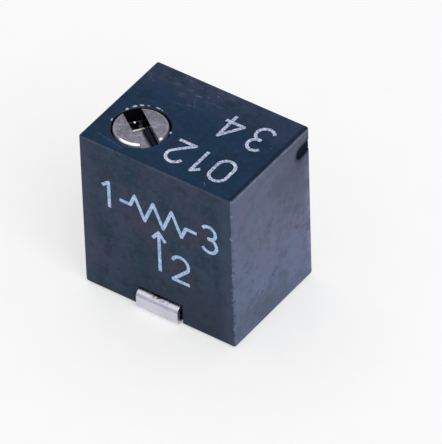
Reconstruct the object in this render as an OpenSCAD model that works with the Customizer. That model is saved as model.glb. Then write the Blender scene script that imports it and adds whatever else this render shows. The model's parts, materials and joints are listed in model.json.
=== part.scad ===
// Surface-mount multi-turn trimmer potentiometer, top adjusted, with three J-hook terminals.
// A worm cut on the slotted screw turns a worm wheel. The wheel carries a sprung contact over a
// printed resistor on a ceramic plate, and potting resin closes the housing at the back.
// +X runs along the front face, +Y to the back and +Z up from the board, in millimetres.

/* [Body] */
// Width of the body along the front face
body_w = 6.5; // [6.2:0.1:8]
// Depth of the body, front face to back rim
body_d = 4.8; // [4.7:0.1:6]
// Height of the body, without the gap to the board
body_h = 6.85; // [6.6:0.05:9]
// Gap between the board and the body's underside
standoff = 0.05; // [0.02:0.01:0.15]
// Thickness of the front wall
front_wall = 0.5; // [0.4:0.05:0.6]
// Thickness of each side wall beside the wheel chamber
side_wall = 0.7; // [0.65:0.05:0.75]
// Thickness of the rim round the potting resin
rim_wall = 0.4; // [0.3:0.05:0.5]
// Thickness of the floor under the wheel chamber
floor_t = 1.15; // [1.1:0.05:1.25]
// Thickness of the roof over the wheel chamber
roof_t = 1.4; // [1.2:0.05:1.6]
// Radius of the outer edges
edge_r = 0.1; // [0.05:0.01:0.18]
// Width of the bevel along the lower left edge
bevel_w = 0.1; // [0.05:0.01:0.2]
// Height of the bevel along the lower left edge
bevel_h = 0.24; // [0.1:0.01:0.4]

/* [Adjusting screw] */
// Distance from the left face to the screw's axis
screw_inset_x = 1.62; // [1.6:0.01:1.75]
// Distance from the front face to the screw's axis
screw_inset_y = 1.51; // [1.48:0.01:1.65]
// Diameter of the screw's head
head_dia = 2.0; // [1.8:0.05:2.05]
// Height of the head above the body
head_proud = 0.05; // [0.02:0.01:0.15]
// Bevel on the head's rim
head_bevel = 0.08; // [0.05:0.01:0.15]
// Width of the driver slot
slot_w = 0.7; // [0.5:0.05:0.8]
// Depth of the driver slot
slot_depth = 0.6; // [0.4:0.01:0.68]
// Solid head left under the driver slot
head_web = 0.55; // [0.45:0.01:0.6]
// Turn of the driver slot from the +X axis, in degrees
slot_angle = -35; // [-90:1:90]
// Gap between the head and the hole in the roof
bore_gap = 0.07; // [0.05:0.01:0.12]
// Bevel at the mouth of the hole
bore_bevel = 0.04; // [0.02:0.01:0.08]
// Radius of the neck under the seal and at the retainer
neck_r = 0.62; // [0.55:0.01:0.66]
// Width of the seal's groove
groove_w = 0.48; // [0.44:0.01:0.52]
// Width of the collar under the seal's groove
land_w = 0.22; // [0.15:0.01:0.3]
// Thickness of the retainer plate
retainer_t = 0.2; // [0.15:0.01:0.25]
// Radius of the stub at the screw's lower end
stub_r = 0.4; // [0.35:0.01:0.42]
// Depth of the stub's bearing in the floor
bearing_depth = 0.35; // [0.2:0.01:0.4]

/* [Worm drive] */
// Number of teeth on the worm wheel
teeth = 14; // [13:1:15]
// Pitch radius of the worm wheel
wheel_pitch_r = 1.6; // [1.55:0.01:1.62]
// Pitch radius of the worm
worm_pitch_r = 0.65; // [0.62:0.01:0.66]
// Height of the teeth above the pitch circle
addendum = 0.19; // [0.15:0.01:0.2]
// Depth of the teeth below the pitch circle
dedendum = 0.22; // [0.2:0.01:0.24]
// Pressure angle, in degrees
pressure_angle = 20; // [18:1:22]
// Play between tooth and thread at the pitch circle
backlash = 0.07; // [0.05:0.01:0.1]
// Width of the teeth along the wheel's axis
tooth_w = 1.0; // [0.8:0.05:1.1]
// Least gap between the wheel's teeth and the chamber's right wall
wheel_gap = 0.14; // [0.08:0.01:0.2]
// Nominal turns of the screw between the end stops
turns = 11; // [8:1:11]
// Width of the wheel's stop lug, in degrees
lug_angle = 34; // [25:1:34]
// Radius of the wheel's pivot pin
pivot_r = 0.4; // [0.3:0.01:0.45]

/* [Contact and element] */
// Thickness of the ceramic plate
ceramic_t = 0.6; // [0.5:0.05:0.7]
// Depth from the back rim to the ceramic plate
potting_depth = 0.75; // [0.6:0.05:0.8]
// Depth of the resin's surface below the back rim
resin_recess = 0.08; // [0.03:0.01:0.15]
// Width of the vent notch through the right-hand rim
vent_w = 0.5; // [0.4:0.05:0.6]
// Reach of the vent notch in front of the back rim
vent_reach = 0.82; // [0.6:0.02:0.9]
// Drop of the vent notch below the top, at the back rim
vent_drop = 0.7; // [0.65:0.05:1]
// Thickness of the printed films
print_t = 0.03; // [0.02:0.005:0.05]
// Middle radius of the resistive track
track_r = 1.42; // [1.35:0.01:1.45]
// Width of the resistive track
track_w = 0.42; // [0.36:0.01:0.5]
// Middle radius of the collector ring
ring_r = 0.55; // [0.5:0.01:0.6]
// Width of the collector ring
ring_w = 0.4; // [0.3:0.01:0.44]
// Thickness of the contact spring
spring_t = 0.07; // [0.05:0.01:0.09]
// Height that the contact's fingers reach over
finger_rise = 0.38; // [0.3:0.01:0.42]

/* [Terminals] */
// Thickness of the terminal strip
lead_t = 0.18; // [0.15:0.01:0.2]
// Width of the middle terminal
wiper_lead_w = 1.8; // [1.4:0.1:1.9]
// Width of the two outer terminals
end_lead_w = 1.1; // [0.9:0.1:1.2]
// Distance from each side face to the middle of the outer terminal beside it
end_lead_inset = 1.35; // [1.3:0.05:1.45]
// Reach of the terminals beyond the body
lead_reach = 0.2; // [0.15:0.01:0.3]
// Height of the terminals' top above the board
lead_top = 0.85; // [0.8:0.01:0.88]
// Outer radius of the terminals' bends
lead_bend_r = 0.26; // [0.24:0.01:0.3]
// Length of each terminal's foot, from its outer face
foot_l = 1.0; // [0.8:0.05:1.2]
// Gap round each terminal in its notch
notch_gap = 0.1; // [0.05:0.01:0.15]
// Depth of the notches in the front face and back rim
notch_d = 0.35; // [0.25:0.01:0.4]
// Width of the tabs soldered to the ceramic plate
tab_w = 0.9; // [0.7:0.05:0.9]

/* [Hidden] */
$fn = 64;
eps = 0.01;          // overshoot of a cut past an outer face
fit = 0.02;          // gap of a piece that is laid in a slot or pocket
run_gap = 0.04;      // running clearance of turning pieces
free_gap = 0.1;      // clearance between pieces that never touch

// Faces of the body
x_side = body_w / 2;
y_front = -body_d / 2;
y_back = body_d / 2;
z_under = standoff;
z_top = standoff + body_h;
z_floor = z_under + floor_t;
z_roof = z_top - roof_t;
x_chamber_left = -x_side + side_wall;
y_chamber = y_front + front_wall;

// Layers towards the back
y_potting = y_back - potting_depth;
y_ceramic = y_potting - ceramic_t;
y_print = y_ceramic - print_t;
y_resin = y_back - resin_recess;

// Pocket for the ceramic plate and the resin
x_pocket = x_side - rim_wall;
pocket_low = z_under + rim_wall;
pocket_high = z_top - rim_wall;
ceramic_low = lead_top + free_gap;
ceramic_high = pocket_high - 2 * fit;

// Screw, from the top down
screw_x = -x_side + screw_inset_x;
screw_y = y_front + screw_inset_y;
head_r = head_dia / 2;
bore_r = head_r + bore_gap;
screw_top = z_top + head_proud;
groove_top = screw_top - slot_depth - head_web;
groove_low = groove_top - groove_w;
land_low = groove_low - land_w;
boss_low = land_low + fit;
retainer_top = land_low - run_gap;
retainer_low = retainer_top - retainer_t;
neck_low = retainer_low - run_gap;
shoulder_w = 0.14;   // collar under the retainer plate
shoulder_r = worm_pitch_r + addendum * 0.8;
worm_top = neck_low - shoulder_w;
bearing_low = z_floor - bearing_depth;
stub_low = bearing_low + run_gap * 2;
stub_bevel = 0.05;
seal_play = 0.03;    // above and below the seal in its groove
boss_wall = 0.3;     // wall round the seal's part of the hole

// Retainer plate, which reaches into the chamber's left and front walls
retainer_grip = 0.12;
retainer_left = x_chamber_left - retainer_grip;
retainer_right = screw_x + shoulder_r + 0.2;
retainer_front = y_chamber - retainer_grip;

// Worm drive: one turn of the screw moves the wheel by one tooth
lead = 2 * PI * wheel_pitch_r / teeth;
lead_angle = atan(lead / (2 * PI * worm_pitch_r));
wheel_x = screw_x + worm_pitch_r + wheel_pitch_r;
wheel_z = (z_floor + z_roof) / 2 - fit;
worm_core_r = worm_pitch_r - dedendum;
worm_tip_r = worm_pitch_r + addendum;
wheel_tip_r = wheel_pitch_r + addendum;
wheel_root_r = wheel_pitch_r - dedendum;
x_chamber_right = max(x_side - side_wall, wheel_x + wheel_tip_r + wheel_gap);
tooth_half = (lead / 2 - backlash) / 2 + 0.005;      // teeth a little stronger than the thread
thread_half = (lead - 2 * tooth_half - backlash) / 2;
thread_start_z = z_floor + 0.6;
thread_end_z = worm_top - 0.1;
wheel_travel = 360 * turns / teeth;
stop_clearance = 1.1;                               // degrees left between lug and rib
rib_angle = 360 - wheel_travel - lug_angle - stop_clearance * 2;

// Wheel, along its axis from the middle of its teeth
hub_r = pivot_r + 0.35;
hub_front = y_chamber + run_gap - screw_y;
teeth_front = -tooth_w / 2;
lug_in_r = hub_r + 0.25;
lug_out_r = wheel_root_r - 0.06;
carrier_r = wheel_root_r - 0.08;
plate_back = y_print - finger_rise - screw_y;
plate_front = plate_back - spring_t;
stake_r = 0.15;
stake_offset = 0.92;
stake_head_w = 0.07;     // how far a stake's flattened head reaches past its shank
stake_head_h = 0.06;

// Contact: a disc with an ear that carries the fingers on the track, and a window whose edge
// carries the fingers on the collector ring
finger_w = 0.08;
finger_pitch = 0.12;
finger_l = 0.85;
inner_finger_l = finger_l * 0.8;
finger_root = 0.15;      // part of a finger that lies in the disc
finger_gap = 0.012;      // from a finger's tip to the film under it
tip_flat = 0.04;         // half of the flat at a finger's tip
tip_reach = 0.12;        // half of the raised tip's length
plate_r = 1.15;
ear_l = 0.2;
ear_r = track_r + finger_pitch * 1.35;
window_l = 0.75;
window_end = 0.3;

// Terminals
end_lead_x = x_side - end_lead_inset;
lead_in_r = lead_bend_r - lead_t;
lead_low = lead_top - lead_t;
lead_face = body_d / 2 + lead_reach;
lead_wide_u = y_potting + 0.2;      // from here outwards the end terminals have their full width
tab_y = y_print - lead_t;
tab_top = z_floor + 0.22;
pad_low = ceramic_low + 0.05;
pad_top = tab_top + 0.1;
joint_leg = 0.09;                   // leg of the solder fillet over a tab

// A box given by its lowest and highest corners
module box(low, high) {
    translate(low) cube(high - low);
}

// A rectangle with rounded corners, centred
module rounded_rect(w, h, r) {
    square([w - 2 * r, h], center = true);
    square([w, h - 2 * r], center = true);
    for (sx = [-1, 1], sy = [-1, 1])
        translate([sx * (w / 2 - r), sy * (h / 2 - r)]) circle(r);
}

// Lays a 2D profile drawn as (outward distance, height) in the Y-Z plane and gives it a width along X
module across(w, side) {
    multmatrix([[0, 0, 1, -w / 2], [side, 0, 0, 0], [0, 1, 0, 0], [0, 0, 0, 1]])
        linear_extrude(w) children();
}

// Places a shape drawn round +Z on the wheel's axis, which runs to the back
module on_wheel_axis() {
    translate([wheel_x, screw_y, wheel_z]) rotate([-90, 0, 0]) children();
}

// Places a film on the front of the ceramic plate, drawn as (x, z) about the wheel's axis
module on_ceramic() {
    translate([wheel_x, y_ceramic, wheel_z]) rotate([90, 0, 0]) linear_extrude(print_t) children();
}

// A flat ring sector, angles counted from +X
module sector(r_in, r_out, from, span, h) {
    rotate([0, 0, from]) rotate_extrude(angle = span) translate([r_in, 0]) square([r_out - r_in, h]);
}

// A quarter of a bent strip in its own plane, its centre at the origin and the bend in one quadrant
module bend(r_in, t, sx, sy) {
    intersection() {
        difference() {
            circle(r_in + t);
            circle(r_in);
        }
        translate([sx > 0 ? 0 : -2 * (r_in + t), sy > 0 ? 0 : -2 * (r_in + t)])
            square(2 * (r_in + t));
    }
}

// Strip polygon of even thickness about a path, mitred at its corners
function unit(v) = v / norm(v);
function normal_of(v) = [-v.y, v.x];
function mitre(path, i) =
    let (
        n = len(path) - 1,
        a = unit(normal_of(path[min(i + 1, n)] - path[min(i, n - 1)])),
        b = unit(normal_of(path[max(i, 1)] - path[max(i - 1, 0)])),
        m = unit(a + b)
    ) m / (m * a);
function strip(path, t) = concat(
    [for (i = [0 : len(path) - 1]) path[i] + mitre(path, i) * t / 2],
    [for (i = [len(path) - 1 : -1 : 0]) path[i] - mitre(path, i) * t / 2]
);

// Housing

module body_block() {
    translate([0, 0, (z_under + z_top) / 2]) intersection() {
        translate([0, 0, -body_h / 2]) linear_extrude(body_h) rounded_rect(body_w, body_d, edge_r);
        rotate([90, 0, 0]) translate([0, 0, -body_d / 2])
            linear_extrude(body_d) rounded_rect(body_w, body_h, edge_r);
        rotate([0, 90, 0]) translate([0, 0, -body_w / 2])
            linear_extrude(body_w) rounded_rect(body_h, body_d, edge_r);
    }
}

// The bevel along the lower left edge
module lower_left_bevel() {
    translate([0, y_back + eps, 0]) rotate([90, 0, 0]) linear_extrude(body_d + 2 * eps)
        polygon([
            [-x_side - eps, z_under - eps], [-x_side + bevel_w, z_under - eps],
            [-x_side + bevel_w, z_under], [-x_side, z_under + bevel_h],
            [-x_side - eps, z_under + bevel_h]
        ]);
}

// Wheel chamber, with the boss for the screw's seal left standing in its upper left corner
module chamber() {
    boss_x = screw_x + bore_r + boss_wall;
    boss_y = screw_y + bore_r + boss_wall;
    difference() {
        box([x_chamber_left, y_chamber, z_floor], [x_chamber_right, y_ceramic + eps, z_roof]);
        box([x_chamber_left - eps, y_chamber - eps, boss_low], [boss_x, boss_y, z_roof + eps]);
        translate([wheel_x, y_chamber - eps, wheel_z]) rotate([-90, 0, 0]) wheel_pivot();
    }
}

// Pivot pin and end stop on the chamber's front wall, drawn round the wheel's axis
module wheel_pivot() {
    cylinder(r = pivot_r, h = plate_front - hub_front - free_gap);
    stop_h = teeth_front - hub_front - run_gap;
    sector(lug_in_r, lug_out_r, 90 - rib_angle / 2, rib_angle, stop_h);
}

// Pocket at the back for the ceramic plate and the resin
module potting_pocket() {
    box([-x_pocket, y_ceramic, pocket_low], [x_pocket, y_back + eps, pocket_high]);
}

// Hole through the roof, the bearing in the floor and the grooves for the retainer plate
module screw_cuts() {
    translate([screw_x, screw_y, 0]) {
        translate([0, 0, retainer_top]) cylinder(r = bore_r, h = z_top - retainer_top + eps);
        translate([0, 0, z_top - bore_bevel])
            cylinder(r1 = bore_r, r2 = bore_r + bore_bevel + eps, h = bore_bevel + eps);
        translate([0, 0, bearing_low]) cylinder(r = stub_r + run_gap, h = bearing_depth + eps);
    }
    box(
        [retainer_left - fit, retainer_front - fit, retainer_low - fit],
        [retainer_right + fit, y_ceramic + eps, retainer_top + fit]
    );
}

// Where a terminal leaves the body: a notch in the outer face and a recess for its foot
module lead_notch(x, w, side, top) {
    half = w / 2 + notch_gap;
    translate([x, 0, 0]) across(2 * half, side) {
        translate([body_d / 2 - notch_d, 0]) square([notch_d + eps, top]);
        translate([lead_face - foot_l - notch_gap, 0])
            square([foot_l, lead_t + fit * 2]);
    }
}

// Slots that lead the strips from the ceramic plate to the outside
module lead_slots() {
    across(wiper_lead_w + 2 * fit, -1)
        translate([-tab_y, lead_low - fit])
            square([tab_y + body_d / 2, lead_t + 2 * fit]);
    for (x = [-end_lead_x, 0, end_lead_x])
        box(
            [x - tab_w / 2 - fit, tab_y - lead_in_r - fit, lead_low - fit],
            [x + tab_w / 2 + fit, y_ceramic + eps, z_floor + eps]
        );
}

// Slanted round-ended vent notch through the right-hand rim, where the resin shows
module vent_notch() {
    slant = 13;
    tip = (vent_reach - vent_w / 2) * [tan(slant), -1];
    translate([x_pocket - eps, y_back, z_top - vent_drop]) rotate([0, 90, 0])
        linear_extrude(rim_wall + 2 * eps) trace([0, vent_w], tip, vent_w);
}

module housing() {
    color([0.13, 0.18, 0.25]) difference() {
        body_block();
        lower_left_bevel();
        chamber();
        potting_pocket();
        screw_cuts();
        lead_slots();
        lead_notch(0, wiper_lead_w, -1, lead_top + notch_gap);
        for (s = [-1, 1]) lead_notch(s * end_lead_x, end_lead_w, 1, pocket_low + eps);
        vent_notch();
    }
}

// Resin and ceramic plate

module potting_resin() {
    vent_inset = 0.03;
    color([0.07, 0.08, 0.1]) difference() {
        union() {
            box([-x_pocket, y_potting, pocket_low], [x_pocket, y_resin, pocket_high]);
            box([-x_pocket, y_ceramic, pocket_low], [x_pocket, y_potting + eps, ceramic_low]);
            intersection() {
                vent_notch();
                box(
                    [x_pocket - eps, y_ceramic, z_floor],
                    [x_side - vent_inset, y_back - vent_inset, z_top]
                );
            }
        }
        for (s = [-1, 1]) end_lead_cut(s * end_lead_x);
    }
}

module ceramic_substrate() {
    color([0.93, 0.92, 0.88])
        box([-x_pocket + fit, y_ceramic, ceramic_low], [x_pocket - fit, y_potting, ceramic_high]);
}

// Printed films on the ceramic plate, angles counted from +X and the gap at the bottom

track_end = 90 + wheel_travel / 2 + 3;
end_span = 10;
trace_w = 0.23;
trace_gap = 0.02;
trace_z = pad_top - 0.15 - wheel_z;

module film_sector(from, span) {
    intersection() {
        difference() {
            circle(track_r + track_w / 2);
            circle(track_r - track_w / 2);
        }
        wedge(from, span);
    }
}

// A pie slice that reaches past the films, for spans under 180 degrees
module wedge(from, span) {
    reach = 3 * track_r;
    polygon([
        [0, 0], reach * [cos(from), sin(from)], reach * [cos(from + span / 2), sin(from + span / 2)],
        reach * [cos(from + span), sin(from + span)]
    ]);
}

module resistive_track() {
    third = (2 * track_end - 180) / 3;
    color([0.12, 0.11, 0.1]) on_ceramic()
        for (i = [0 : 2]) film_sector(180 - track_end + i * third, third);
}

// A straight conductor with round ends
module trace(a, b, w) {
    translate(a) circle(w / 2);
    translate(b) circle(w / 2);
    translate(a) rotate(atan2(b.y - a.y, b.x - a.x))
        translate([0, -w / 2]) square([norm(b - a), w]);
}

// A solder pad, drawn about the wheel's axis
module pad(x) {
    translate([x - wheel_x - tab_w / 2, pad_low - wheel_z]) square([tab_w, pad_top - pad_low]);
}

// From the track's end outwards, then past the middle pad to the outer terminal's pad
module end_print(side) {
    end = side < 0 ? track_end : 180 - track_end - end_span;
    mid = end + end_span / 2;
    out = (track_r + track_w / 2 + trace_w / 2 + trace_gap) * [cos(mid), sin(mid)];
    color([0.78, 0.76, 0.7]) on_ceramic() {
        film_sector(end, end_span);
        trace(track_r * [cos(mid), sin(mid)], out, trace_w);
        trace(out, [side * end_lead_x - wheel_x, trace_z], trace_w);
        pad(side * end_lead_x);
    }
}

module end_print_1() {
    end_print(-1);
}

module end_print_3() {
    end_print(1);
}

// From the ring straight down through the track's gap, then along to the middle terminal's pad
module collector_print() {
    land_x = (tab_w - trace_w) / 2 - wheel_x;
    reach = ring_r * 0.55;
    trace_x = min(max(land_x, -reach), reach);
    half = trace_w / 2;
    color([0.8, 0.78, 0.72]) on_ceramic() {
        difference() {
            union() {
                circle(ring_r + ring_w / 2);
                trace([trace_x, -ring_r], [trace_x, trace_z], trace_w);
            }
            circle(ring_r - ring_w / 2);
        }
        translate([min(trace_x, land_x) - half, trace_z - half])
            square([abs(trace_x - land_x) + trace_w, trace_w]);
        pad(0);
    }
}

// Terminals: a strip bent to a J outside the body, with a tab on the ceramic plate inside

// From the horizontal run outwards, as (outward distance, height)
module j_hook_profile(inner) {
    mid = lead_face - lead_bend_r;
    translate([inner, lead_low]) square([mid - inner, lead_t]);
    translate([mid, lead_top - lead_bend_r]) bend(lead_in_r, lead_t, 1, 1);
    translate([lead_face - lead_t, lead_bend_r])
        square([lead_t, lead_top - 2 * lead_bend_r]);
    translate([mid, lead_bend_r]) bend(lead_in_r, lead_t, 1, -1);
    translate([lead_face - foot_l, 0]) square([foot_l - lead_bend_r, lead_t]);
}

module wiper_terminal() {
    neck_u = 0.6;
    color([0.82, 0.82, 0.84]) {
        across(wiper_lead_w, -1) j_hook_profile(neck_u);
        across(tab_w, -1) {
            translate([-tab_y + lead_in_r, lead_low]) square([neck_u + tab_y - lead_in_r, lead_t]);
            translate([-tab_y + lead_in_r, lead_low + lead_bend_r]) bend(lead_in_r, lead_t, -1, -1);
            translate([-tab_y - lead_t, lead_low + lead_bend_r])
                square([lead_t, tab_top - lead_low - lead_bend_r]);
        }
    }
}

module end_lead_profile() {
    bend_u = y_print + lead_in_r;
    j_hook_profile(bend_u);
    translate([bend_u, lead_low + lead_bend_r]) bend(lead_in_r, lead_t, -1, -1);
    translate([tab_y, lead_low + lead_bend_r]) square([lead_t, tab_top - lead_low - lead_bend_r]);
}

module end_lead(x) {
    color([0.82, 0.82, 0.84]) translate([x, 0, 0]) {
        across(tab_w, 1) end_lead_profile();
        across(end_lead_w, 1) intersection() {
            end_lead_profile();
            translate([lead_wide_u, 0]) square([body_d, lead_top]);
        }
    }
}

// The room that an outer terminal takes in the resin
module end_lead_cut(x) {
    translate([x, 0, 0]) {
        across(tab_w, 1) end_lead_profile();
        across(end_lead_w, 1) translate([lead_wide_u, lead_low]) square([body_d, lead_t]);
    }
}

module end_terminal_1() {
    end_lead(-end_lead_x);
}

module end_terminal_3() {
    end_lead(end_lead_x);
}

// Solder fillet between a tab's upper edge and its pad
module solder_joint(x) {
    leg = joint_leg;
    color([0.7, 0.7, 0.72]) translate([x, 0, 0]) across(tab_w - leg, 1) difference() {
        translate([y_print - leg, tab_top]) square(leg);
        translate([y_print - leg, tab_top + leg]) circle(leg * 0.98);
    }
}

module solder_joint_1() {
    solder_joint(-end_lead_x);
}

module solder_joint_2() {
    solder_joint(0);
}

module solder_joint_3() {
    solder_joint(end_lead_x);
}

// Screw, seal and retainer

// Helical ridge with a trapezoid section that runs out at both ends
thread_steps = 24;
thread_turns = (thread_end_z - thread_start_z) / lead;
thread_rings = floor(thread_turns * thread_steps);
thread_foot_r = worm_core_r / 2;
thread_foot = thread_half + (worm_pitch_r - thread_foot_r) * tan(pressure_angle);

// The ridge's height above the core as a share, small at its ends and 1 between
function run_out(i) = max(0.15, min(1, i / thread_steps * 2, (thread_rings - i) / thread_steps * 2));

// A ring's four corners as [radius, height]
function thread_section(i) =
    let (
        tip_r = worm_core_r + (worm_tip_r - worm_core_r) * run_out(i),
        tip_half = thread_half - (tip_r - worm_pitch_r) * tan(pressure_angle)
    ) [
        [thread_foot_r, -thread_foot], [tip_r, -tip_half],
        [tip_r, tip_half], [thread_foot_r, thread_foot]
    ];

module worm_thread() {
    // at angle 0 a gap of the thread lies level with the wheel's axis
    turns_below = ceil((wheel_z - thread_start_z) / lead);
    z0 = wheel_z - (turns_below - 0.5) * lead;
    points = [
        for (i = [0 : thread_rings])
            let (a = 360 * (i + 0.5) / thread_steps, z = z0 + lead * (i + 0.5) / thread_steps)
            for (p = thread_section(i)) [p[0] * cos(a), p[0] * sin(a), z + p[1]]
    ];
    sides = [
        for (i = [0 : thread_rings - 1], k = [0 : 3])
            let (a = 4 * i + k, b = 4 * i + (k + 1) % 4)
            each [[a, b, a + 4], [b, b + 4, a + 4]]
    ];
    last = 4 * thread_rings;
    polyhedron(points, concat(sides, [[3, 2, 1, 0], [last, last + 1, last + 2, last + 3]]));
}

module adjusting_screw() {
    color([0.62, 0.62, 0.66]) translate([screw_x, screw_y, 0]) {
        difference() {
            rotate_extrude() polygon([
                [0, stub_low], [stub_r - stub_bevel, stub_low], [stub_r, stub_low + stub_bevel],
                [stub_r, z_floor + free_gap], [worm_core_r, z_floor + free_gap + stub_bevel],
                [worm_core_r, worm_top], [shoulder_r, worm_top], [shoulder_r, neck_low],
                [neck_r, neck_low], [neck_r, land_low], [head_r, land_low],
                [head_r, groove_low], [neck_r, groove_low], [neck_r, groove_top],
                [head_r, groove_top], [head_r, screw_top - head_bevel],
                [head_r - head_bevel, screw_top], [0, screw_top]
            ]);
            rotate([0, 0, slot_angle]) translate([-head_r - eps, -slot_w / 2, screw_top - slot_depth])
                cube([2 * head_r + 2 * eps, slot_w, slot_depth + eps]);
        }
        worm_thread();
    }
}

// Seal ring, pressed oval between the groove and the hole
module screw_o_ring() {
    in_r = neck_r + fit / 2;
    out_r = bore_r - fit;
    half_h = groove_w / 2 - seal_play;
    bulge = (out_r - in_r) / 2;
    color([0.35, 0.12, 0.08]) translate([screw_x, screw_y, (groove_top + groove_low) / 2])
        rotate_extrude() translate([(in_r + out_r) / 2, 0])
            rounded_rect(2 * bulge, 2 * half_h, min(bulge, half_h) * 0.9);
}

// Forked plate pushed in from the back, which holds the screw by its neck
module screw_retainer() {
    slot_r = neck_r + run_gap;
    color([0.7, 0.68, 0.62]) difference() {
        box(
            [retainer_left, retainer_front, retainer_low],
            [retainer_right, y_print - fit, retainer_top]
        );
        translate([screw_x, screw_y, retainer_low - eps]) {
            cylinder(r = slot_r, h = retainer_t + 2 * eps);
            translate([-slot_r, retainer_front - screw_y - eps, 0])
                cube([2 * slot_r, screw_y - retainer_front + eps, retainer_t + 2 * eps]);
        }
    }
}

// Worm wheel and contact, drawn round +Z from the middle of the teeth

function involute(a) = tan(a) * 180 / PI - a;
// Half of a tooth's angle at radius r, in degrees
function tooth_half_angle(r) =
    let (
        base_r = wheel_pitch_r * cos(pressure_angle),
        at_pitch = tooth_half / wheel_pitch_r * 180 / PI
    ) at_pitch + involute(pressure_angle) - involute(acos(min(1, base_r / r)));

module tooth_outline() {
    base_r = wheel_pitch_r * cos(pressure_angle);
    foot_r = wheel_root_r - 5 * eps;
    flank = concat([foot_r], [for (i = [0 : 4]) base_r + (wheel_tip_r - base_r) * i / 4]);
    polygon(concat(
        [for (r = flank) let (a = tooth_half_angle(r)) r * [cos(a), -sin(a)]],
        [for (i = [len(flank) - 1 : -1 : 0])
            let (r = flank[i], a = tooth_half_angle(r)) r * [cos(a), sin(a)]]
    ));
}

// Teeth skewed to the worm's lead angle and trimmed to the rim's width
module wheel_teeth() {
    intersection() {
        for (i = [0 : teeth - 1])
            rotate([0, 0, 180 + 360 * i / teeth]) rotate([-lead_angle, 0, 0])
                linear_extrude(tooth_w * 1.3, center = true) tooth_outline();
        cylinder(r = wheel_tip_r + free_gap, h = tooth_w, center = true);
    }
}

module worm_wheel() {
    color([0.9, 0.88, 0.8]) on_wheel_axis() difference() {
        union() {
            wheel_teeth();
            translate([0, 0, teeth_front]) cylinder(r = wheel_root_r, h = tooth_w);
            translate([0, 0, hub_front]) cylinder(r = hub_r, h = -hub_front);
            translate([0, 0, hub_front + run_gap])
                sector(lug_in_r, lug_out_r, -90 - lug_angle / 2, lug_angle, -hub_front - run_gap);
            cylinder(r = carrier_r, h = plate_front);
            for (s = [-1, 1]) translate([s * stake_offset, 0, 0]) {
                cylinder(r = stake_r, h = plate_back + eps);
                translate([0, 0, plate_back]) cylinder(r = stake_r + stake_head_w, h = stake_head_h);
            }
        }
        translate([0, 0, hub_front - eps])
            cylinder(r = pivot_r + run_gap, h = plate_front - hub_front + 2 * eps);
    }
}

// A finger's bent side profile as (along, towards the ceramic plate), its tip's touching point at 0
function finger_path(l) =
    let (tip = plate_back + finger_rise - finger_gap - spring_t / 2)
    [
        [-l - finger_root, plate_front + spring_t / 2], [-l, plate_front + spring_t / 2],
        [-tip_reach, tip - 0.05], [-tip_flat, tip], [tip_flat, tip], [tip_reach, tip - spring_t]
    ];

module fingers(r, count, l) {
    for (i = [0 : count - 1])
        translate([0, -r + (i - (count - 1) / 2) * finger_pitch + finger_w / 2, 0])
            rotate([90, 0, 0]) linear_extrude(finger_w) polygon(strip(finger_path(l), spring_t));
}

module contact_plate() {
    window_half = finger_pitch * 1.1;
    difference() {
        union() {
            circle(plate_r);
            translate([-finger_l - ear_l, -ear_r]) square([ear_l, ear_r]);
        }
        circle(pivot_r + 2 * run_gap);
        translate([-finger_l * 0.9, -ear_r - eps])
            square([2 * plate_r, ear_r - track_r + finger_pitch * 2 + eps]);
        translate([-window_l, ring_r - window_half]) square([window_l + window_end, 2 * window_half]);
        for (s = [-1, 1]) translate([s * stake_offset, 0]) circle(stake_r + fit / 2);
    }
}

module wiper_contact() {
    color([0.85, 0.7, 0.4]) on_wheel_axis() {
        translate([0, 0, plate_front]) linear_extrude(spring_t) contact_plate();
        fingers(track_r, 3, finger_l);
        rotate([0, 0, 180]) mirror([1, 0, 0]) fingers(ring_r, 2, inner_finger_l);
    }
}

housing();
potting_resin();
ceramic_substrate();
resistive_track();
collector_print();
end_print_1();
end_print_3();
wiper_terminal();
end_terminal_1();
end_terminal_3();
solder_joint_1();
solder_joint_2();
solder_joint_3();
screw_retainer();
adjusting_screw();
screw_o_ring();
worm_wheel();
wiper_contact();
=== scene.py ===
"""Looks of a small surface-mount trimmer potentiometer, built round its CAD frame.

Sizes are in millimetres in the row's frame and are turned to metres when a piece is made.
"""
import json
import math

import bmesh
import bpy
from mathutils import Matrix, Vector
from mathutils.geometry import delaunay_2d_cdt


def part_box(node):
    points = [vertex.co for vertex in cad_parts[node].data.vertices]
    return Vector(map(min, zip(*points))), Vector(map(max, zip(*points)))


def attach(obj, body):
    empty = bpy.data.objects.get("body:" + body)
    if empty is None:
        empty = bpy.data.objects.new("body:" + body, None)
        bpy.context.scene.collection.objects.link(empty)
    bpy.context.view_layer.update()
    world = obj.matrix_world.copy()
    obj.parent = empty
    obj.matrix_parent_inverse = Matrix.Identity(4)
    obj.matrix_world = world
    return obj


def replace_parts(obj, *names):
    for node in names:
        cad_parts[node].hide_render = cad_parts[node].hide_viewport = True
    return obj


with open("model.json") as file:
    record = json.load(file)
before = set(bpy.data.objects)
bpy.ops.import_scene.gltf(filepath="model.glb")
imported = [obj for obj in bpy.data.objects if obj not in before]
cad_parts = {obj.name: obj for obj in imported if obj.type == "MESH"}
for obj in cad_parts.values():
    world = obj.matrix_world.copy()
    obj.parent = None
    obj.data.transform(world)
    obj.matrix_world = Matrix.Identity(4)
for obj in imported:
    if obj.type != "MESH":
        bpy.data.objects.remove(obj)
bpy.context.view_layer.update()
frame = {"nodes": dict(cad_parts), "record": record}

MM = 0.001
IMAGE_W, IMAGE_H = 442, 444


def box_mm(node):
    low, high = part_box(node)
    return Vector(low) / MM, Vector(high) / MM


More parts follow.
